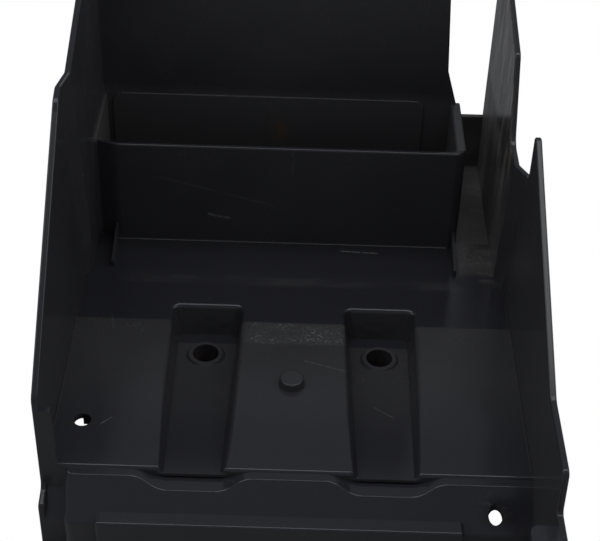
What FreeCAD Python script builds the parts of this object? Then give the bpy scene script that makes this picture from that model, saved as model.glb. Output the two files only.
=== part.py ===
import FreeCAD, Part
import math
import os

from FreeCAD import Vector

# A battery box of a motorcycle, moulded in one piece of black polypropylene.
# X runs to the right, Y to the back and Z up. The sizes below are measured from the middle of the
# floor's front edge, with the top of the floor at zero height. The finished box is moved at the
# end, so that its origin lies midway between the two fixing bosses, on the seat of the frame.

# General wall of the moulding, and the radius that softens its free edges
WALL = 2.6
RIM_ROUND = 0.8
COVE_RADIUS = 0.6

# Floor of the battery bay
BAY_HALF_WIDTH = 95.0
FLOOR_DEPTH = 217.0
REAR_FLOOR_RISE = 0.6
REAR_RAMP_LENGTH = 6.0
REAR_RAMP_ROUND = 20.0

# Both side walls step inwards behind the battery, along a line that leans to the front
JOG_START = 118.7
JOG_LENGTH = 7.9
JOG_LEAN = 0.17
JOG_ROUND = 3.0
LEFT_JOG = 3.0
RIGHT_JOG = 4.0

# The skirt below the floor, which the box stands on
SKIRT_HEIGHT = 36.0

# Left side wall, as seen from the side
LEFT_FRONT_HEIGHT = 34.0
LEFT_SHOULDER_Y = 93.0
LEFT_SHOULDER_HEIGHT = 108.0
LEFT_REAR_HEIGHT = 150.0
LEFT_TOE_REACH = 9.0
LEFT_TOE_DROP = 14.0
LEFT_TOE_SLOPE = 2.0
LEFT_RETURN_WIDTH = 4.7
LEFT_RETURN_HEIGHT = 28.5

# Right side wall, with its two steps in front of the floor
RIGHT_ARM_REACH = 40.5
RIGHT_ARM_HEIGHT = 45.5
RIGHT_TOE_REACH = 63.0
RIGHT_TOE_HEIGHT = 27.0
RIGHT_SLOPE_START = -4.0
RIGHT_PEAK_Y = 99.5
RIGHT_PEAK_HEIGHT = 94.5
NOTCH_DEPTH = 24.5
NOTCH_ROUND = 8.0
POST_FOOT_Y = 131.0
POST_SHOULDER_Y = 148.0
POST_SHOULDER_HEIGHT = 104.0
POST_REAR_HEIGHT = 121.0

# Flat ear at the foremost end of the right wall
EAR_WIDTH = 12.6
EAR_REAR_Y = 48.0
EAR_CORNER = 3.0

# Low wall that closes the rear
REAR_WALL_HEIGHT = 30.0

# Cross wall behind the battery, and the pocket behind it
CROSS_WALL_Y = 147.0
CROSS_WALL = 2.4
CROSS_WALL_HEIGHT = 53.0
POCKET_HEIGHT = 53.0
POCKET_DEPTH = 40.6
SIDE_GAP_WIDTH = 15.5
POCKET_RIGHT_X = BAY_HALF_WIDTH - RIGHT_JOG - SIDE_GAP_WIDTH
POCKET_RIGHT_WALL = 4.4
POCKET_CORNER = 5.0
POCKET_LINER = 1.0
LEFT_CURVE_DEPTH = 4.0
LEFT_CURVE_LENGTH = 9.0

# Tall back panel
PANEL_HEIGHT = 120.0
PANEL_FLARE_FOOT = 46.0
PANEL_FLARE_TOP = 70.0
PANEL_EDGE_INSET = 7.0
PANEL_EDGE_LEAN = 3.0
PANEL_CORNER = 8.0
PAD_THICKNESS = 0.8
PAD_LEFT_GAP = 3.5
PAD_RIGHT_GAP = 12.8
PAD_FOOT = 8.0
PAD_HEAD = 54.3
PAD_CORNER = 5.0

# Two wedge ribs that keep the battery from sliding sideways
RIB_LEFT_GAP = 11.6
RIB_RIGHT_INSET = 2.3
RIB_LEFT_X = -BAY_HALF_WIDTH + RIB_LEFT_GAP
RIB_RIGHT_X = POCKET_RIGHT_X - RIB_RIGHT_INSET
RIB_THICKNESS = 1.2
RIB_REACH = 21.5
RIB_HIGH = 9.6
RIB_LOW = 3.7

# Two channels in the floor, open at the front and deeper at the back
CHANNEL_SPACING = 76.0
CHANNEL_FRONT_WIDTH = 27.0
CHANNEL_REAR_WIDTH = 31.0
CHANNEL_REAR_Y = 100.0
CHANNEL_REAR_SLOPE = 3.5
CHANNEL_SIDE_RUN = 2.5
CHANNEL_FRONT_DEPTH = 2.8
CHANNEL_REAR_DEPTH = 14.0
CHANNEL_CORNER = 3.5
CHANNEL_SIDE_ROUND = 2.0

# Fixing boss in each channel, with a raised collar
BOSS_Y = 80.0
BOSS_OUTER_RADIUS = 8.5
BOSS_TOP_RADIUS = 7.4
BOSS_HOLE_RADIUS = 5.7
BOSS_COLLAR_HEIGHT = 1.2
BOSS_SEAT_DEPTH = 24.0

# Peg in the middle of the floor
PEG_Y = 50.5
PEG_BASE_RADIUS = 5.6
PEG_TOP_RADIUS = 5.0
PEG_HEIGHT = 3.5
PEG_ROUND = 0.8

# Hole at the front left of the floor
FLOOR_HOLE_GAP = 11.2
FLOOR_HOLE_X = -BAY_HALF_WIDTH + FLOOR_HOLE_GAP
FLOOR_HOLE_Y = 25.5
FLOOR_HOLE_RADIUS = 3.5

# Sloping apron in front of the floor. Its narrow flat head dips in front of each channel.
NOSE_ROUND = 1.5
HEAD_REACH = 3.5
HEAD_DROP = 1.0
HEAD_ROUND = 0.7
DIP_DEPTH = 4.9
DIP_WIDTH = 25.0
DIP_RUN = 8.5
DIP_BEND = 14.0
APRON_STEEPNESS = 1.11
APRON_REACH = 16.2
APRON_ROUND = 2.0
APRON_LEFT_GAP = 8.0
APRON_LEFT_X = -BAY_HALF_WIDTH + APRON_LEFT_GAP
APRON_END_ROUND = 4.0
NOSE_SKIRT_DEPTH = 12.0
APRON_HOLE_GAP = 14.5
APRON_HOLE_X = BAY_HALF_WIDTH - APRON_HOLE_GAP
APRON_HOLE_Y = 10.7
APRON_HOLE_RADIUS = 2.85

# Bar along the foot of the apron
BAR_LEFT_GAP = 21.0
BAR_RIGHT_GAP = 27.0
BAR_LEFT_X = -BAY_HALF_WIDTH + BAR_LEFT_GAP
BAR_RIGHT_X = BAY_HALF_WIDTH - BAR_RIGHT_GAP
BAR_START = 12.9
BAR_REACH = 19.4
BAR_ROUND = 1.2

# Short rib below the floor, behind the hole at the front left
UNDER_RIB_DEPTH = 3.6
UNDER_RIB_OVERLAP = 0.4

# How far a cutting shape runs past what it cuts
CLEAR = 1.0
FAR = 400.0

CHANNEL_MIDDLES = (-CHANNEL_SPACING / 2, CHANNEL_SPACING / 2)


def rounded_outline(corners, place):
    """Closed outline through corners (u, v, radius); place(u, v) gives the point in space."""
    edges = []
    starts = []
    count = len(corners)
    for index, (u, v, radius) in enumerate(corners):
        before = corners[index - 1]
        after = corners[(index + 1) % count]
        corner = Vector(u, v, 0)
        back = (Vector(before[0], before[1], 0) - corner).normalize()
        ahead = (Vector(after[0], after[1], 0) - corner).normalize()
        if radius > 0:
            half = back.getAngle(ahead) / 2
            reach = radius / math.tan(half)
            middle = (back + ahead).normalize() * (radius / math.sin(half) - radius)
            starts.append((corner + back * reach, corner + middle, corner + ahead * reach))
        else:
            starts.append((corner, None, corner))
    for index, (enter, middle, leave) in enumerate(starts):
        following = starts[(index + 1) % count][0]
        if middle is not None:
            on_arc = [place(point.x, point.y) for point in (enter, middle, leave)]
            edges.append(Part.Arc(*on_arc).toShape())
        if (following - leave).Length > 1e-6:
            edges.append(Part.makeLine(place(leave.x, leave.y), place(following.x, following.y)))
    return Part.Wire(edges)


def sharp(points):
    return [(u, v, 0.0) for u, v in points]


def side_prism(corners, x_from, x_to):
    """Solid with an outline in Y and Z, running along X."""
    outline = rounded_outline(corners, lambda y, z: Vector(x_from, y, z))
    return Part.Face(outline).extrude(Vector(x_to - x_from, 0, 0))


def front_prism(corners, y_from, y_to):
    """Solid with an outline in X and Z, running along Y."""
    outline = rounded_outline(corners, lambda x, z: Vector(x, y_from, z))
    return Part.Face(outline).extrude(Vector(0, y_to - y_from, 0))


def plan_prism(corners, z_from, z_to):
    """Solid with an outline in X and Y, running along Z."""
    outline = rounded_outline(corners, lambda x, y: Vector(x, y, z_from))
    return Part.Face(outline).extrude(Vector(0, 0, z_to - z_from))


def box(x_from, x_to, y_from, y_to, z_from, z_to):
    size = (x_to - x_from, y_to - y_from, z_to - z_from)
    return Part.makeBox(*size, Vector(x_from, y_from, z_from))


def leaning_prism(corners):
    """Solid with an outline in X and Y at floor level, running up along the jog's leaning line."""
    low = -SKIRT_HEIGHT - CLEAR
    high = LEFT_REAR_HEIGHT + CLEAR
    outline = rounded_outline(corners, lambda x, y: Vector(x, y - JOG_LEAN * low, low))
    return Part.Face(outline).extrude(Vector(0, -JOG_LEAN * (high - low), high - low))


def sharp_edges(shape, wanted):
    """Edges where two faces meet at a clear angle, among those whose extent is wanted."""
    found = []
    for edge in shape.Edges:
        faces = shape.ancestorsOfType(edge, Part.Face)
        if len(faces) != 2 or not wanted(edge.BoundBox):
            continue
        middle = edge.valueAt((edge.FirstParameter + edge.LastParameter) / 2)
        normals = [face.normalAt(*face.Surface.parameter(middle)) for face in faces]
        if normals[0].getAngle(normals[1]) > math.radians(35):
            found.append(edge)
    return found


def side_strip(side, jog, thickness_in, thickness_out):
    """Plan of one side wall, which steps inwards by the jog; side is -1 for left and 1 for right."""
    jog_end = JOG_START + JOG_LENGTH
    inner = BAY_HALF_WIDTH - thickness_in
    outer = BAY_HALF_WIDTH + thickness_out
    return leaning_prism([
        (side * inner, -FAR, 0.0),
        (side * inner, JOG_START, JOG_ROUND),
        (side * (inner - jog), jog_end, JOG_ROUND),
        (side * (inner - jog), FAR, 0.0),
        (side * (outer - jog), FAR, 0.0),
        (side * (outer - jog), jog_end, JOG_ROUND),
        (side * outer, JOG_START, JOG_ROUND),
        (side * outer, -FAR, 0.0),
    ])


def inside_of_box():
    """Everything between the middles of the two side walls, to trim floor and partitions."""
    jog_end = JOG_START + JOG_LENGTH
    half = BAY_HALF_WIDTH + WALL / 2
    return leaning_prism(sharp([
        (-half, -FAR),
        (-half, JOG_START),
        (-half + LEFT_JOG, jog_end),
        (-half + LEFT_JOG, FAR),
        (half - RIGHT_JOG, FAR),
        (half - RIGHT_JOG, jog_end),
        (half, JOG_START),
        (half, -FAR),
    ]))


def left_wall():
    """Left side wall: a plate that rises to the back, with a short toe below the floor."""
    rear = FLOOR_DEPTH + WALL
    profile = side_prism([
        (-LEFT_TOE_REACH, -SKIRT_HEIGHT, 0.0),
        (-LEFT_TOE_REACH, -LEFT_TOE_DROP, 2.0),
        (0.0, -LEFT_TOE_DROP + LEFT_TOE_SLOPE, 3.0),
        (0.0, LEFT_FRONT_HEIGHT, 5.0),
        (LEFT_SHOULDER_Y, LEFT_SHOULDER_HEIGHT, 6.0),
        (rear, LEFT_REAR_HEIGHT, 6.0),
        (rear, -SKIRT_HEIGHT, 0.0),
    ], -FAR, FAR)
    return round_rim(side_strip(-1, LEFT_JOG, 0.0, WALL).common(profile))


def round_rim(wall):
    """Softens every free edge of an upright wall, except those it stands on."""
    foot = wall.BoundBox.ZMin
    rim = sharp_edges(wall, lambda span: span.ZMax > foot + CLEAR)
    return wall.makeFillet(RIM_ROUND, rim)


def left_return():
    """Narrow flange at the front of the left wall, turned inwards."""
    inner = -BAY_HALF_WIDTH + LEFT_RETURN_WIDTH
    return front_prism([
        (-BAY_HALF_WIDTH - WALL / 2, -WALL, 0.0),
        (inner, -WALL, 0.0),
        (inner, LEFT_RETURN_HEIGHT, 1.5),
        (-BAY_HALF_WIDTH - WALL / 2, LEFT_RETURN_HEIGHT, 0.0),
    ], 0.0, WALL)


def right_wall():
    """Right side wall: it reaches forward in two steps and is notched in front of the rear post."""
    rear = FLOOR_DEPTH + WALL
    notch_floor = RIGHT_PEAK_HEIGHT - NOTCH_DEPTH
    profile = side_prism([
        (-RIGHT_TOE_REACH, -SKIRT_HEIGHT, 0.0),
        (-RIGHT_TOE_REACH, RIGHT_TOE_HEIGHT, 4.0),
        (-RIGHT_ARM_REACH - 1.5, RIGHT_TOE_HEIGHT, 2.0),
        (-RIGHT_ARM_REACH, RIGHT_ARM_HEIGHT, 3.0),
        (RIGHT_SLOPE_START, RIGHT_ARM_HEIGHT, 8.0),
        (RIGHT_PEAK_Y - 3.5, RIGHT_PEAK_HEIGHT, 1.0),
        (RIGHT_PEAK_Y, RIGHT_PEAK_HEIGHT, 2.0),
        (RIGHT_PEAK_Y, notch_floor, NOTCH_ROUND),
        (POST_FOOT_Y, notch_floor, NOTCH_ROUND),
        (POST_SHOULDER_Y, POST_SHOULDER_HEIGHT, 4.0),
        (rear, POST_REAR_HEIGHT, 6.0),
        (rear, -SKIRT_HEIGHT, 0.0),
    ], -FAR, FAR)
    return round_rim(side_strip(1, RIGHT_JOG, 0.0, WALL).common(profile))


def left_toe_face():
    """Face that closes the front between the left wall's toe and the apron."""
    top = -LEFT_TOE_DROP + LEFT_TOE_SLOPE
    return side_prism(sharp([
        (-LEFT_TOE_REACH, -SKIRT_HEIGHT),
        (-LEFT_TOE_REACH, top - LEFT_TOE_REACH),
        (0.0, top),
        (WALL, top),
        (WALL, top - WALL),
        (0.0, top - WALL),
        (-LEFT_TOE_REACH + WALL, top - LEFT_TOE_REACH),
        (-LEFT_TOE_REACH + WALL, -SKIRT_HEIGHT),
    ]), -BAY_HALF_WIDTH - WALL / 2, APRON_LEFT_X + APRON_END_ROUND)


def cove(corner, along, inward):
    """Small hollow round in the corner of a floor and an upright wall, from corner along a line."""
    up = Vector(0, 0, 1)
    outline = Part.makePolygon([
        corner + inward * COVE_RADIUS + up * -WALL / 2,
        corner + inward * COVE_RADIUS + up * COVE_RADIUS,
        corner - inward * (WALL / 2) + up * COVE_RADIUS,
        corner - inward * (WALL / 2) - up * (WALL / 2),
        corner + inward * COVE_RADIUS + up * -WALL / 2,
    ])
    block = Part.Face(outline).extrude(along)
    start = corner + inward * COVE_RADIUS + up * COVE_RADIUS
    return block.cut(Part.makeCylinder(COVE_RADIUS, along.Length, start, along))


def coves():
    """Hollow rounds along both side walls of the battery bay and along the foot of the cross wall."""
    run = Vector(0, JOG_START - WALL, 0)
    rear_left = -BAY_HALF_WIDTH + LEFT_JOG + LEFT_CURVE_LENGTH
    rear_start = Vector(rear_left, CROSS_WALL_Y, REAR_FLOOR_RISE)
    rear = Vector(POCKET_RIGHT_X - POCKET_CORNER - rear_left, 0, 0)
    return [
        cove(Vector(-BAY_HALF_WIDTH, WALL, 0), run, Vector(1, 0, 0)),
        cove(Vector(BAY_HALF_WIDTH, WALL, 0), run, Vector(-1, 0, 0)),
        cove(rear_start, rear, Vector(0, -1, 0)),
    ]


def front_skirt():
    """Short skirt under the floor's edge, between the left wall and the apron."""
    left = -BAY_HALF_WIDTH - WALL / 2
    return box(left, APRON_LEFT_X + WALL, 0.0, WALL, -SKIRT_HEIGHT, -WALL)


def floor_plate():
    """Floor with a shallow ramp where the side walls step in, and a rounded front edge."""
    ramp_end = JOG_START + REAR_RAMP_LENGTH
    rear = FLOOR_DEPTH + WALL / 2
    return side_prism([
        (0.0, -WALL - NOSE_ROUND, 0.0),
        (0.0, 0.0, NOSE_ROUND),
        (JOG_START, 0.0, REAR_RAMP_ROUND),
        (ramp_end, REAR_FLOOR_RISE, REAR_RAMP_ROUND),
        (rear, REAR_FLOOR_RISE, 0.0),
        (rear, REAR_FLOOR_RISE - WALL, 0.0),
        (ramp_end, REAR_FLOOR_RISE - WALL, 0.0),
        (JOG_START, -WALL, 0.0),
        (WALL, -WALL, 0.0),
        (WALL, -WALL - NOSE_ROUND, 0.0),
    ], -BAY_HALF_WIDTH - WALL / 2, BAY_HALF_WIDTH + WALL / 2)


def channel_section(middle_x, width, run, top_z, bottom_z, y_top, y_bottom):
    return Part.makePolygon([
        Vector(middle_x - width / 2, y_top, top_z),
        Vector(middle_x + width / 2, y_top, top_z),
        Vector(middle_x + width / 2 - run, y_bottom, bottom_z),
        Vector(middle_x - width / 2 + run, y_bottom, bottom_z),
        Vector(middle_x - width / 2, y_top, top_z),
    ])


def channel_form(middle_x, grow, front_y, top):
    """Body of one channel between front_y and its rear end, grown all round by a wall or by nothing."""
    slope = (CHANNEL_REAR_DEPTH - CHANNEL_FRONT_DEPTH) / CHANNEL_REAR_Y
    taper = (CHANNEL_REAR_WIDTH - CHANNEL_FRONT_WIDTH) / CHANNEL_REAR_Y
    lift = CHANNEL_SIDE_RUN * top / CHANNEL_REAR_DEPTH
    rear_lift = CHANNEL_REAR_SLOPE * top / CHANNEL_REAR_DEPTH
    front = channel_section(
        middle_x,
        CHANNEL_FRONT_WIDTH + taper * front_y + 2 * grow + 2 * lift,
        CHANNEL_SIDE_RUN + lift,
        top,
        -CHANNEL_FRONT_DEPTH - slope * front_y - grow,
        front_y,
        front_y,
    )
    rear = channel_section(
        middle_x,
        CHANNEL_REAR_WIDTH + 2 * grow + 2 * lift,
        CHANNEL_SIDE_RUN + lift,
        top,
        -CHANNEL_REAR_DEPTH - grow,
        CHANNEL_REAR_Y + grow + rear_lift,
        CHANNEL_REAR_Y + grow - CHANNEL_REAR_SLOPE,
    )
    body = Part.makeSolid(Part.makeLoft([front, rear], True, True).Shells[0])
    rear_corners = [
        edge for edge in body.Edges
        if edge.BoundBox.ZLength > CHANNEL_REAR_DEPTH / 2 and edge.BoundBox.YMin > CHANNEL_REAR_Y / 2
    ]
    return body.makeFillet(CHANNEL_CORNER, rear_corners)


def channel_depth_at(y):
    return CHANNEL_FRONT_DEPTH + (CHANNEL_REAR_DEPTH - CHANNEL_FRONT_DEPTH) * y / CHANNEL_REAR_Y


def floor_with_channels():
    """Floor plate with its two channels, softened where they open, and trimmed to the side walls."""
    plate = floor_plate()
    for middle_x in CHANNEL_MIDDLES:
        plate = plate.fuse(channel_form(middle_x, WALL, WALL, -WALL / 2))
    for middle_x in CHANNEL_MIDDLES:
        plate = plate.cut(channel_form(middle_x, 0.0, -CLEAR, CLEAR))
    plate = plate.removeSplitter()
    mouth = []
    for edge in plate.Edges:
        span = edge.BoundBox
        off_middle = abs(abs(span.Center.x) - CHANNEL_SPACING / 2)
        on_top = abs(span.ZMin) < 1e-3 and abs(span.ZMax) < 1e-3
        if on_top and off_middle < CHANNEL_REAR_WIDTH and span.YMax < CHANNEL_REAR_Y + CLEAR:
            if span.YLength > CLEAR or span.YMin > CHANNEL_REAR_Y / 2:
                mouth.append(edge)
    plate = plate.makeFillet(CHANNEL_SIDE_ROUND, mouth)
    return plate.common(inside_of_box())


def boss(middle_x):
    """Fixing boss of a channel: a shank down to the frame and a collar that stands in the channel."""
    collar_foot = -channel_depth_at(BOSS_Y)
    shank = Part.makeCylinder(
        BOSS_OUTER_RADIUS,
        collar_foot + BOSS_SEAT_DEPTH,
        Vector(middle_x, BOSS_Y, -BOSS_SEAT_DEPTH),
    )
    collar = Part.makeCone(
        BOSS_OUTER_RADIUS,
        BOSS_TOP_RADIUS,
        BOSS_COLLAR_HEIGHT,
        Vector(middle_x, BOSS_Y, collar_foot),
    )
    return shank.fuse(collar)


def boss_hole(middle_x):
    return Part.makeCylinder(
        BOSS_HOLE_RADIUS,
        BOSS_SEAT_DEPTH + CLEAR,
        Vector(middle_x, BOSS_Y, -BOSS_SEAT_DEPTH - CLEAR),
    )


def peg():
    sides = Part.makeCone(
        PEG_BASE_RADIUS, PEG_TOP_RADIUS, PEG_HEIGHT + WALL / 2, Vector(0, PEG_Y, -WALL / 2)
    )
    rim = [edge for edge in sides.Edges if edge.BoundBox.ZMin > PEG_HEIGHT - 1e-3]
    return sides.makeFillet(PEG_ROUND, rim)


def top_edges(shape, wanted):
    """Sharp edges that lie flat at the very top of a shape."""
    top = shape.BoundBox.ZMax
    return sharp_edges(shape, lambda span: span.ZMin > top - 1e-3 and wanted(span))


def cross_wall():
    """Wall behind the battery, which curves back where it meets the left side wall."""
    left = -BAY_HALF_WIDTH + LEFT_JOG
    curve_end = CROSS_WALL_Y + LEFT_CURVE_DEPTH
    curve_start = left + LEFT_CURVE_LENGTH
    right = POCKET_RIGHT_X - POCKET_RIGHT_WALL
    wall = plan_prism([
        (left - WALL / 2, curve_end, 0.0),
        (left, curve_end, 0.0),
        (curve_start, CROSS_WALL_Y, LEFT_CURVE_LENGTH),
        (right, CROSS_WALL_Y, 0.0),
        (right, CROSS_WALL_Y + CROSS_WALL, 0.0),
        (curve_start, CROSS_WALL_Y + CROSS_WALL, LEFT_CURVE_LENGTH),
        (left, curve_end + CROSS_WALL, 0.0),
        (left - WALL / 2, curve_end + CROSS_WALL, 0.0),
    ], REAR_FLOOR_RISE - WALL / 2, CROSS_WALL_HEIGHT)
    rim = top_edges(wall, lambda span: span.XLength > CLEAR and span.XMin > left - CLEAR / 2)
    return wall.makeFillet(RIM_ROUND, rim).common(inside_of_box())


def pocket_side():
    """Thick wall on the right of the pocket, with a rounded corner to the cross wall."""
    inner = POCKET_RIGHT_X - POCKET_RIGHT_WALL
    inner_corner = POCKET_CORNER - CROSS_WALL
    wall_rear = CROSS_WALL_Y + CROSS_WALL + POCKET_DEPTH + WALL / 2
    wall = plan_prism([
        (inner - 2 * inner_corner, CROSS_WALL_Y, 0.0),
        (POCKET_RIGHT_X, CROSS_WALL_Y, POCKET_CORNER),
        (POCKET_RIGHT_X, wall_rear, 0.0),
        (inner, wall_rear, 0.0),
        (inner, CROSS_WALL_Y + CROSS_WALL, inner_corner),
        (inner - 2 * inner_corner, CROSS_WALL_Y + CROSS_WALL, 0.0),
    ], REAR_FLOOR_RISE - WALL / 2, POCKET_HEIGHT)
    rim = top_edges(wall, lambda span: span.YMin < wall_rear - CLEAR)
    return wall.makeFillet(RIM_ROUND, rim)


def pocket_liner():
    """Thin step on the left side wall, which ends level with the pocket's other walls."""
    left = -BAY_HALF_WIDTH + LEFT_JOG
    return box(
        left - WALL / 2,
        left + POCKET_LINER,
        CROSS_WALL_Y + CROSS_WALL / 2,
        CROSS_WALL_Y + CROSS_WALL + POCKET_DEPTH + WALL / 2,
        REAR_FLOOR_RISE - WALL / 2,
        POCKET_HEIGHT,
    )


def back_panel():
    """Tall panel behind the pocket, whose right edge flares out to the pocket's side wall."""
    front = CROSS_WALL_Y + CROSS_WALL + POCKET_DEPTH
    left = -BAY_HALF_WIDTH + LEFT_JOG - WALL / 2
    edge_x = POCKET_RIGHT_X - PANEL_EDGE_INSET
    pad_left = -BAY_HALF_WIDTH + LEFT_JOG + PAD_LEFT_GAP
    pad_right = POCKET_RIGHT_X - POCKET_RIGHT_WALL - PAD_RIGHT_GAP
    panel = front_prism([
        (left, REAR_FLOOR_RISE - WALL / 2, 0.0),
        (POCKET_RIGHT_X, REAR_FLOOR_RISE - WALL / 2, 0.0),
        (POCKET_RIGHT_X, PANEL_FLARE_FOOT, PANEL_CORNER),
        (edge_x, PANEL_FLARE_TOP, PANEL_CORNER),
        (edge_x - PANEL_EDGE_LEAN, PANEL_HEIGHT, PANEL_CORNER),
        (left, PANEL_HEIGHT, 0.0),
    ], front, front + WALL)
    pad = front_prism([
        (pad_left, PAD_FOOT, PAD_CORNER),
        (pad_right, PAD_FOOT, PAD_CORNER),
        (pad_right, PAD_HEAD, PAD_CORNER),
        (pad_left, PAD_HEAD, PAD_CORNER),
    ], front - PAD_THICKNESS, front + WALL / 2)
    panel = round_rim(panel).common(inside_of_box())
    pad_rim = sharp_edges(pad, lambda span: span.YMax < front)
    return panel, pad.makeFillet(PAD_THICKNESS / 2, pad_rim)


def rear_wall():
    """Low wall across the rear, which goes on below the floor as the rear skirt."""
    wall = box(
        -FAR, FAR, FLOOR_DEPTH, FLOOR_DEPTH + WALL, -SKIRT_HEIGHT, REAR_WALL_HEIGHT
    )
    rim = top_edges(wall, lambda span: span.XLength > FAR)
    return wall.makeFillet(RIM_ROUND, rim).common(inside_of_box())


def rib(middle_x):
    low = -WALL / 2
    return side_prism(sharp([
        (CROSS_WALL_Y + CROSS_WALL / 2, low),
        (CROSS_WALL_Y + CROSS_WALL / 2, RIB_HIGH),
        (CROSS_WALL_Y, RIB_HIGH),
        (CROSS_WALL_Y - RIB_REACH, RIB_LOW),
        (CROSS_WALL_Y - RIB_REACH, low),
    ]), middle_x - RIB_THICKNESS / 2, middle_x + RIB_THICKNESS / 2)


def apron_height(y):
    """Height of the apron's sloping face, y in front of the floor's edge."""
    return -HEAD_DROP - (y - HEAD_REACH) * APRON_STEEPNESS


def apron_head():
    """Everything below the apron's head, which dips in front of each channel."""
    half = DIP_WIDTH / 2
    line = [(APRON_LEFT_X - CLEAR, -SKIRT_HEIGHT, 0.0), (APRON_LEFT_X - CLEAR, -HEAD_DROP, 0.0)]
    for middle_x in CHANNEL_MIDDLES:
        line += [
            (middle_x - half - DIP_RUN, -HEAD_DROP, DIP_BEND),
            (middle_x - half, -DIP_DEPTH, DIP_BEND),
            (middle_x + half, -DIP_DEPTH, DIP_BEND),
            (middle_x + half + DIP_RUN, -HEAD_DROP, DIP_BEND),
        ]
    right = BAY_HALF_WIDTH + WALL
    line += [(right, -HEAD_DROP, 0.0), (right, -SKIRT_HEIGHT, 0.0)]
    return front_prism(line, -BAR_REACH - CLEAR, WALL)


def apron():
    """Sloping front below the floor's edge, hollow from below, with a bar along its foot."""
    right = BAY_HALF_WIDTH + WALL / 2
    upright_wall = WALL * math.sqrt(1 + APRON_STEEPNESS ** 2)
    ceiling = -DIP_DEPTH - WALL
    foot = apron_height(APRON_REACH)
    top_reach = HEAD_REACH - (HEAD_DROP + CLEAR) / APRON_STEEPNESS
    front = side_prism([
        (WALL, CLEAR, 0.0),
        (-top_reach, CLEAR, 0.0),
        (-APRON_REACH, foot, APRON_ROUND),
        (-APRON_REACH, -SKIRT_HEIGHT, 0.0),
        (WALL, -SKIRT_HEIGHT, 0.0),
    ], APRON_LEFT_X, right)
    left_end = sharp_edges(
        front,
        lambda span: span.XMax < APRON_LEFT_X + CLEAR and span.YMax < WALL and span.ZLength > CLEAR,
    )
    front = front.makeFillet(APRON_END_ROUND, left_end).common(apron_head())
    front = front.makeFillet(HEAD_ROUND, sharp_edges(front, is_brow))
    hollow = side_prism(sharp([
        (0.0, -SKIRT_HEIGHT - CLEAR),
        (0.0, ceiling),
        (-(HEAD_REACH + (-ceiling - HEAD_DROP - upright_wall) / APRON_STEEPNESS), ceiling),
        (-APRON_REACH + WALL, apron_height(APRON_REACH - WALL) - upright_wall),
        (-APRON_REACH + WALL, -SKIRT_HEIGHT - CLEAR),
    ]), APRON_LEFT_X + APRON_END_ROUND, right)
    bar_hollow = box(
        BAR_LEFT_X + WALL,
        BAR_RIGHT_X - WALL,
        -BAR_REACH + WALL,
        0.0,
        -SKIRT_HEIGHT - CLEAR,
        foot - upright_wall,
    )
    behind_nose = box(
        APRON_LEFT_X, right, 0.0, WALL + CLEAR, -SKIRT_HEIGHT - CLEAR, -NOSE_SKIRT_DEPTH
    )
    return front.fuse(bar()).cut(hollow).cut(bar_hollow).cut(behind_nose).removeSplitter()


def is_brow(span):
    """Whether an edge lies between the apron's flat head and its sloping face."""
    on_slope = abs(apron_height(-span.YMin) - span.ZMin) < 1e-2
    on_slope = on_slope and abs(apron_height(-span.YMax) - span.ZMax) < 1e-2
    in_head = span.ZMin > -DIP_DEPTH - CLEAR and -span.YMax > HEAD_REACH - CLEAR / 10
    return on_slope and in_head and span.XLength > CLEAR / 2


def bar():
    """Bar along the foot of the apron, with a flat top and softened edges."""
    top = apron_height(BAR_START)
    body = side_prism([
        (-BAR_START, -SKIRT_HEIGHT, 0.0),
        (-BAR_START, top, 0.0),
        (-BAR_REACH, top, BAR_ROUND),
        (-BAR_REACH, -SKIRT_HEIGHT, 0.0),
    ], BAR_LEFT_X, BAR_RIGHT_X)
    ends = sharp_edges(
        body,
        lambda span: span.XLength < CLEAR
        and span.YMin < -BAR_START - CLEAR
        and span.ZMax > -SKIRT_HEIGHT + CLEAR,
    )
    return body.makeFillet(BAR_ROUND, ends)


def under_rib():
    """Stiffening rib below the floor, from behind the front hole to the left channel."""
    front = FLOOR_HOLE_Y + FLOOR_HOLE_RADIUS + CLEAR / 4
    channel_side = CHANNEL_MIDDLES[0] - CHANNEL_FRONT_WIDTH / 2
    return box(
        FLOOR_HOLE_X - UNDER_RIB_OVERLAP,
        channel_side,
        front,
        front + WALL,
        -WALL - UNDER_RIB_DEPTH,
        -WALL / 2,
    )


def right_ear():
    """Small flat ear at the front of the right wall's toe, turned inwards."""
    inner = BAY_HALF_WIDTH + WALL - EAR_WIDTH
    return plan_prism([
        (BAY_HALF_WIDTH + WALL / 2, -EAR_REAR_Y, 0.0),
        (inner, -EAR_REAR_Y, EAR_CORNER),
        (inner, -RIGHT_TOE_REACH, EAR_CORNER),
        (BAY_HALF_WIDTH + WALL / 2, -RIGHT_TOE_REACH, 0.0),
    ], RIGHT_TOE_HEIGHT - WALL, RIGHT_TOE_HEIGHT)


def front_hole():
    return Part.makeCylinder(
        FLOOR_HOLE_RADIUS,
        2 * WALL + 2 * CLEAR,
        Vector(FLOOR_HOLE_X, FLOOR_HOLE_Y, -2 * WALL - CLEAR),
    )


def apron_hole():
    """Upright hole through the sloping apron."""
    return Part.makeCylinder(
        APRON_HOLE_RADIUS, FAR, Vector(APRON_HOLE_X, -APRON_HOLE_Y, -SKIRT_HEIGHT - CLEAR)
    )


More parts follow.
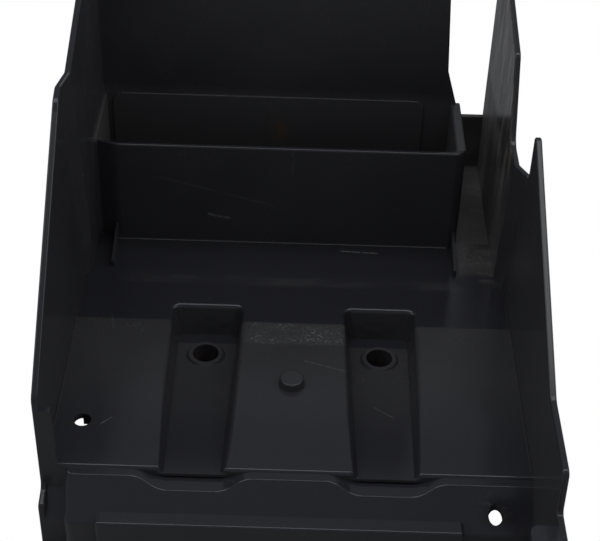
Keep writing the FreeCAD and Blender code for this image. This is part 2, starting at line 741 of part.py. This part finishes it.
def build():
    panel, pad = back_panel()
    pieces = [left_wall(), right_wall(), left_return(), right_ear()]
    pieces += [apron(), left_toe_face(), front_skirt(), under_rib()]
    pieces += [cross_wall(), pocket_side(), pocket_liner(), panel, pad, rear_wall()]
    pieces += [rib(RIB_LEFT_X), rib(RIB_RIGHT_X), peg()] + coves()
    pieces += [boss(middle_x) for middle_x in CHANNEL_MIDDLES]
    shape = floor_with_channels()
    for piece in pieces:
        shape = shape.fuse(piece)
    holes = [boss_hole(middle_x) for middle_x in CHANNEL_MIDDLES] + [front_hole(), apron_hole()]
    for hole in holes:
        shape = shape.cut(hole)
    shape = shape.removeSplitter()
    solid = shape.Solids[0]
    solid.translate(Vector(0, -BOSS_Y, BOSS_SEAT_DEPTH))
    return solid


os.makedirs("parts", exist_ok=True)
shape = build()
print(shape.ShapeType, len(shape.Solids), shape.isValid(), round(shape.Volume / 1000, 1), "cm3")
shape.exportStep("parts/battery_box.step")
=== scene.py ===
import math

import bpy
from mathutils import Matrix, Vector


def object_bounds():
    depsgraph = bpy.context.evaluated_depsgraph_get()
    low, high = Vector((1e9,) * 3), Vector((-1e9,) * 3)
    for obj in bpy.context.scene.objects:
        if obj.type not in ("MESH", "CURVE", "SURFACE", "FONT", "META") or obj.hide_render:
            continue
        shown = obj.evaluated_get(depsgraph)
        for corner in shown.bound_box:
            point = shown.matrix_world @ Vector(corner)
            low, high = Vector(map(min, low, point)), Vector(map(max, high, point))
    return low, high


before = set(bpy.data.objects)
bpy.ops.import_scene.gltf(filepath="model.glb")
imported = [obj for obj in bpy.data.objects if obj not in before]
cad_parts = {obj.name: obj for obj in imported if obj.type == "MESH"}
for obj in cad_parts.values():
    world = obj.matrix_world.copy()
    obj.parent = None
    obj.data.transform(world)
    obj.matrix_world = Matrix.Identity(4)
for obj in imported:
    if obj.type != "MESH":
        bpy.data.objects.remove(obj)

low_corner, high_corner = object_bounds()

# Backdrop
# A white sweep under and behind the box, evenly lit. It is white to the camera, as in the photo,
# and a plain grey floor to the light that bounces back up to the box.

FLOOR_SIZE = 6.0
FLOOR_COLOUR = (0.30, 0.30, 0.31, 1.0)
FLOOR_ROUGHNESS = 0.9
ROOM_COLOUR = (0.195, 0.20, 0.22, 1.0)
WHITE = (1.0, 1.0, 1.0, 1.0)


def new_material(name):
    material = bpy.data.materials.new(name)
    material.use_nodes = True
    return material, material.node_tree.nodes, material.node_tree.links


def white_to_camera(nodes, links, plain, white, surface):
    """Shows the camera the white shader, and every other ray the plain one."""
    light_path = nodes.new("ShaderNodeLightPath")
    choice = nodes.new("ShaderNodeMixShader")
    links.new(light_path.outputs["Is Camera Ray"], choice.inputs["Fac"])
    links.new(plain, choice.inputs[1])
    links.new(white, choice.inputs[2])
    links.new(choice.outputs["Shader"], surface)


bpy.ops.object.select_all(action="DESELECT")
bpy.ops.mesh.primitive_plane_add(size=FLOOR_SIZE, location=(0.0, 0.0, low_corner.z))
floor = bpy.context.object
floor.name = "studio_floor"
floor_material, nodes, links = new_material("studio_floor")
floor_shader = nodes["Principled BSDF"]
floor_shader.inputs["Base Color"].default_value = FLOOR_COLOUR
floor_shader.inputs["Roughness"].default_value = FLOOR_ROUGHNESS
seen_white = nodes.new("ShaderNodeEmission")
seen_white.inputs["Color"].default_value = WHITE
white_to_camera(nodes, links, floor_shader.outputs["BSDF"], seen_white.outputs["Emission"],
                nodes["Material Output"].inputs["Surface"])
floor.data.materials.append(floor_material)

world = bpy.data.worlds.new("studio_room")
bpy.context.scene.world = world
world.use_nodes = True
nodes, links = world.node_tree.nodes, world.node_tree.links
room = nodes["Background"]
room.inputs["Color"].default_value = ROOM_COLOUR
backdrop = nodes.new("ShaderNodeBackground")
backdrop.inputs["Color"].default_value = WHITE
white_to_camera(nodes, links, room.outputs["Background"], backdrop.outputs["Background"],
                nodes["World Output"].inputs["Surface"])

# Lamps
# One wide softbox overhead, which draws the light lines on the rims, and a weak one on each side
# to fill the inner faces of the side walls.

COOL = (0.95, 0.97, 1.0)
OVERHEAD_POWER = 5.2
SIDE_POWER = 2.6
SIDE_DISTANCE = 1.2


def softbox(name, place, target, width, depth, power):
    bpy.ops.object.light_add(type="AREA", location=place)
    lamp = bpy.context.object
    lamp.name = name
    lamp.data.shape = "RECTANGLE"
    lamp.data.size = width
    lamp.data.size_y = depth
    lamp.data.energy = power
    lamp.data.color = COOL
    aim = Vector(target) - Vector(place)
    lamp.rotation_euler = aim.to_track_quat("-Z", "Y").to_euler()


softbox("overhead_softbox", (0.0, 0.1, 1.5), (0.0, 0.0, 0.0), 1.6, 0.6, OVERHEAD_POWER)
for name, side in (("left_softbox", -1), ("right_softbox", 1)):
    softbox(name, (side * SIDE_DISTANCE, 0.0, 0.8), (0.0, 0.0, 0.05), 0.9, 0.9, SIDE_POWER)

# Camera
# Placed where the photo was taken from, found by fitting the box's straight edges. The lens is the
# one that gives the photo's perspective.

CAMERA_PLACE = (-0.0004, -0.4652, 0.4257)
CAMERA_TURN = (51.884, -1.511, 0.885)
CAMERA_LENS = 85.0
CAMERA_SENSOR = 36.0
NEAREST = 0.01
FARTHEST = 50.0

bpy.ops.object.camera_add(location=CAMERA_PLACE)
camera = bpy.context.object
camera.name = "photo_camera"
camera.rotation_euler = [math.radians(angle) for angle in CAMERA_TURN]
camera.data.lens = CAMERA_LENS
camera.data.sensor_width = CAMERA_SENSOR
camera.data.clip_start = NEAREST
camera.data.clip_end = FARTHEST
bpy.context.scene.camera = camera
bpy.context.scene.view_settings.view_transform = "Standard"

# Battery box
# The real piece is one injection moulding of black polypropylene, smooth and fairly glossy. It has
# been used: dust in the pocket, scuffs and scratches on the floor and the cross wall, and brown
# stains in the pocket and the two fixing holes. Some of the colour is painted light: lighter
# upright faces, a highlight along the ramp, a glint on the cross wall, a reflection on the rear
# post and light on the pocket's left end. Places are in millimetres, in the box's own frame.

MM = 0.001

BLACK = (0.029, 0.029, 0.035, 1.0)
# The dust colour also paints light on the upright faces.
DUSTY_AND_PAINTED_LIGHT = (0.082, 0.081, 0.082, 1.0)
# The scuff colour also paints the highlight along the ramp and the glint on the cross wall.
SCUFF_AND_HIGHLIGHT = (0.17, 0.17, 0.165, 1.0)
RUST = (0.14, 0.090, 0.062, 1.0)
# This pale colour paints a reflection on the rear post and light on the pocket's left end, and the
# pale blotches in the corner below the post.
PALE_AND_PAINTED_LIGHT = (0.30, 0.28, 0.24, 1.0)
SMOOTH_ROUGHNESS = 0.13
WORN_ROUGHNESS = 0.40
GRAIN_DEPTH = 0.05
SINK_DEPTH = 0.3

# A scratch runs from one point to another, and so does the painted glint among them. Its half
# width and its strength follow, and a strength of 1 is the full colour of a scuff.
SCRATCHES_AND_GLINT = [
    ((-62.7, 67.0, 59.9), (-10.2, 67.0, 45.7), 0.45, 0.30),
    # A painted glint on the cross wall, not a scratch.
    ((-41.0, 67.0, 40.2), (-31.0, 67.0, 38.2), 0.90, 0.75),
    ((-2.5, 67.0, 76.8), (-2.5, 67.0, 63.3), 0.40, 0.30),
    ((20.7, 62.0, 24.6), (38.0, 61.0, 24.6), 0.45, 1.00),
    ((-76.5, -56.7, 24.0), (-72.2, -52.5, 24.0), 0.40, 0.60),
    ((34.6, -33.7, 16.3), (42.7, -40.5, 17.0), 0.60, 0.70),
    ((37.5, -33.0, 16.3), (44.5, -37.5, 16.8), 0.40, 0.45),
    ((5.3, -15.1, 24.0), (22.3, -20.7, 24.0), 0.35, 0.50),
    ((-80.0, 12.0, 24.0), (-78.0, 2.0, 24.0), 0.40, 0.25),
]
# Patches are soft round places: middle, radius and strength.
SCUFFED = [
    ((-70.0, 3.0, 24.0), 7.0, 0.50),
    ((70.0, 2.0, 24.0), 9.0, 0.28),
    ((82.0, 62.0, 24.6), 13.0, 0.55),
    ((80.5, -84.0, 14.0), 11.0, 0.35),
    ((-15.0, 109.0, 62.0), 24.0, 0.30),
    ((-62.0, 109.0, 58.0), 16.0, 0.22),
    ((60.0, 109.0, 66.0), 12.0, 0.25),
]
RUSTY = [
    ((-12.0, 109.0, 60.0), 9.0, 0.90),
    ((84.0, 128.0, 42.0), 10.0, 0.35),
    ((-38.0, 0.0, 3.0), 11.0, 1.00),
    ((38.0, 0.0, 3.0), 11.0, 1.00),
]
# A mark has its full strength over this share of its half width or radius, and a scratch has faded
# out at the second share.
FULL_SHARE = 0.3
FADED_SHARE = 1.3

# Spans along one axis: the pocket with the trough behind it, the flat floor, the rubbed stretch
# between the channels, the painted highlight at the ramp's upper edge, the rear post, the corner
# below it and the pocket's left end, which is painted lighter.
REAR_Y = (71.0, 150.0)
FLOOR_Y = (-90.0, 9.0)
RUBBED_X, RUBBED_Y = (-16.0, 18.0), (-3.0, 8.0)
RAMP_HIGHLIGHT_X, RAMP_HIGHLIGHT_Y = (-72.0, 66.0), (37.0, 39.5)
POST_X, POST_Y = (84.0, 91.1), (48.0, 142.0)
CORNER_X, CORNER_Y = (76.0, 91.0), (50.0, 137.0)
END_X, END_Y, END_Z = (-94.0, -90.8), (68.5, 110.0), (20.0, 78.0)
# The share of painted light on the pocket's left end.
END_PAINTED_LIGHT = 0.10

box_material, nodes, links = new_material("black_plastic")
shader = nodes["Principled BSDF"]
place = nodes.new("ShaderNodeTexCoord").outputs["Object"]
normal = nodes.new("ShaderNodeNewGeometry").outputs["Normal"]


def plug(value, socket):
    """Joins an output to a socket, or sets the socket to a plain value."""
    if isinstance(value, bpy.types.NodeSocket):
        links.new(value, socket)
    else:
        socket.default_value = value


def axes_of(vector):
    node = nodes.new("ShaderNodeSeparateXYZ")
    plug(vector, node.inputs["Vector"])
    return node.outputs


def maths(kind, *values):
    node = nodes.new("ShaderNodeMath")
    node.operation = kind
    for value, socket in zip(values, node.inputs):
        plug(value, socket)
    return node.outputs["Value"]


def vector_maths(kind, *values):
    node = nodes.new("ShaderNodeVectorMath")
    node.operation = kind
    sockets = list(node.inputs)
    if kind == "SCALE":
        sockets = [node.inputs["Vector"], node.inputs["Scale"]]
    for value, socket in zip(values, sockets):
        plug(value, socket)
    return node.outputs["Value" if kind in ("LENGTH", "DOT_PRODUCT") else "Vector"]


def ramp(value, low, high, start=0.0, end=1.0):
    """Smoothly from start, where value is low, to end, where it is high."""
    node = nodes.new("ShaderNodeMapRange")
    node.interpolation_type = "SMOOTHSTEP"
    plug(value, node.inputs["Value"])
    for name, number in (("From Min", low), ("From Max", high), ("To Min", start), ("To Max", end)):
        node.inputs[name].default_value = number
    return node.outputs["Result"]


def noise(scale, detail=3.0, stretch=(1.0, 1.0, 1.0)):
    node = nodes.new("ShaderNodeTexNoise")
    node.inputs["Scale"].default_value = scale
    node.inputs["Detail"].default_value = detail
    plug(vector_maths("MULTIPLY", place, stretch), node.inputs["Vector"])
    return node.outputs["Fac"]


def combine(kind, masks):
    result = masks[0]
    for mask in masks[1:]:
        result = maths(kind, result, mask)
    return result


def overlap(*masks):
    """The product of masks, which shows only where all of them do."""
    return combine("MULTIPLY", masks)


def strongest(*masks):
    return combine("MAXIMUM", masks)


def metres(point):
    return tuple(value * MM for value in point)


def near_line(start, end, half_width, strength):
    """Strength along a line between two points, fading over its half width."""
    start, end = Vector(metres(start)), Vector(metres(end))
    run = end - start
    from_start = vector_maths("SUBTRACT", place, tuple(start))
    share = vector_maths("DOT_PRODUCT", from_start, tuple(run / run.length_squared))
    share = maths("MINIMUM", maths("MAXIMUM", share, 0.0), 1.0)
    foot = vector_maths("SCALE", tuple(run), share)
    distance = vector_maths("LENGTH", vector_maths("SUBTRACT", from_start, foot))
    half = half_width * MM
    return ramp(distance, half * FULL_SHARE, half * FADED_SHARE, strength, 0.0)


def near_point(point, radius, strength):
    """Strength round a point, fading to nothing at the radius."""
    distance = vector_maths("LENGTH", vector_maths("SUBTRACT", place, metres(point)))
    return ramp(distance, radius * MM * FULL_SHARE, radius * MM, strength, 0.0)


where = axes_of(place)
facing = axes_of(normal)
up = maths("MAXIMUM", facing["Z"], 0.0)


def along(axis, low, high, start=0.0, end=1.0):
    """Smoothly from start to end between two places along X, Y or Z."""
    return ramp(where[axis], low * MM, high * MM, start, end)


def inside(axis, span, soft):
    """1 within the span along X, Y or Z, fading out over the soft length at both ends."""
    low, high = span
    return overlap(along(axis, low - soft, low), along(axis, high, high + soft, 1.0, 0.0))


def bump(height, strength, depth):
    node = nodes.new("ShaderNodeBump")
    node.inputs["Strength"].default_value = strength
    node.inputs["Distance"].default_value = depth * MM
    plug(height, node.inputs["Height"])
    return node


def blend_colours(share, first, second):
    node = nodes.new("ShaderNodeMix")
    node.data_type = "RGBA"
    plug(share, node.inputs["Factor"])
    plug(first, node.inputs[6])
    plug(second, node.inputs[7])
    return node.outputs[2]


# The upright faces are painted lighter, painted light that stands in for the light they catch. A
# thin film of dust dulls the rear half of the floor, and it lies thicker low down in the pocket and
# behind it.
cloudy = ramp(noise(30.0, 4.0), 0.3, 0.7, 0.85, 1.15)
grains = ramp(noise(700.0), 0.42, 0.70, 0.0, 0.03)
painted_light_on_upright = ramp(facing["Z"], 0.1, 0.5, 0.42, 0.0)
in_pocket = overlap(inside("Y", REAR_Y, 1.0), along("Z", 74.0, 84.0, 0.75, 0.06))
on_floor = overlap(along("Y", -70.0, -10.0, 0.0, 0.42), inside("Y", FLOOR_Y, 1.0))
film_and_painted_light = maths("ADD", maths("ADD", painted_light_on_upright, in_pocket), overlap(up, on_floor))
dust_and_painted_light = maths("MINIMUM", maths("ADD", overlap(film_and_painted_light, cloudy), grains), 1.0)

# Scuffs are clusters of short marks, in the patches and between the channels. Streaks along the
# ramp's upper edge are a painted highlight in the scuff colour. Scratches are thin and broken, and
# one short bright line on the cross wall is a painted glint.
specks = overlap(ramp(noise(800.0, 4.0), 0.44, 0.72), ramp(noise(110.0), 0.32, 0.66))
scuffs = overlap(strongest(*[near_point(*patch) for patch in SCUFFED]), specks)
rubbed = overlap(inside("X", RUBBED_X, 9.0), inside("Y", RUBBED_Y, 2.5), up)
rubbed = overlap(rubbed, maths("ADD", overlap(specks, 0.75), 0.10))
highlight_streaks = ramp(noise(60.0, 4.0, (0.5, 1.0, 1.0)), 0.40, 0.70, 0.02, 0.16)
ramp_painted_highlight = overlap(inside("X", RAMP_HIGHLIGHT_X, 12.0), inside("Y", RAMP_HIGHLIGHT_Y, 3.0), highlight_streaks, up)
broken = ramp(noise(500.0), 0.36, 0.58, 0.25, 1.0)
scratches_and_glint = overlap(strongest(*[near_line(*scratch) for scratch in SCRATCHES_AND_GLINT]), broken)
# The wear mask also carries the painted highlight along the ramp and the painted glint.
wear_and_highlight = maths("ADD", strongest(scuffs, rubbed, ramp_painted_highlight), scratches_and_glint)
wear_and_highlight = maths("MINIMUM", wear_and_highlight, 1.0)

drips = ramp(noise(170.0, 3.0, (1.0, 1.0, 0.35)), 0.38, 0.62)
rust = overlap(strongest(*[near_point(*patch) for patch in RUSTY]), drips)

# The inner face of the right wall's rear post carries a painted reflection, pale streaks that grow
# stronger higher up. Pale blotches lie in the corner below it, and the pocket's left end is painted
# a little lighter, as painted light.
reflection_streaks = ramp(noise(60.0, 4.0, (1.0, 4.0, 0.7)), 0.42, 0.66)
on_post = overlap(inside("X", POST_X, 0.2), inside("Y", POST_Y, 12.0))
post_painted_reflection = overlap(reflection_streaks, on_post, along("Z", 20.0, 130.0, 0.22, 0.75))
blotches = ramp(noise(45.0, 4.0), 0.35, 0.70, 0.04, 0.20)
corner_blotches = overlap(inside("X", CORNER_X, 1.0), inside("Y", CORNER_Y, 6.0), blotches)
lit_pocket_end = overlap(inside("X", END_X, 0.2), inside("Y", END_Y, 0.5), inside("Z", END_Z, 1.0))
pale_and_painted_light = strongest(post_painted_reflection, corner_blotches, overlap(lit_pocket_end, END_PAINTED_LIGHT))

colour = blend_colours(dust_and_painted_light, BLACK, DUSTY_AND_PAINTED_LIGHT)
colour = blend_colours(pale_and_painted_light, colour, PALE_AND_PAINTED_LIGHT)
colour = blend_colours(wear_and_highlight, colour, SCUFF_AND_HIGHLIGHT)
colour = blend_colours(rust, colour, RUST)
plug(colour, shader.inputs["Base Color"])

mottled = ramp(noise(22.0), 0.3, 0.7, -0.015, 0.02)
roughness = ramp(maths("MAXIMUM", dust_and_painted_light, wear_and_highlight), 0.0, 1.0, SMOOTH_ROUGHNESS, WORN_ROUGHNESS)
plug(maths("ADD", roughness, mottled), shader.inputs["Roughness"])

# The fine grain of the mould lies over broad, shallow sink marks.
sink = bump(noise(14.0, 1.0), 0.3, SINK_DEPTH)
grain = bump(noise(1400.0, 2.0), 0.25, GRAIN_DEPTH)
links.new(sink.outputs["Normal"], grain.inputs["Normal"])
links.new(grain.outputs["Normal"], shader.inputs["Normal"])

battery_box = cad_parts["battery_box"]
battery_box.data.materials.clear()
battery_box.data.materials.append(box_material)
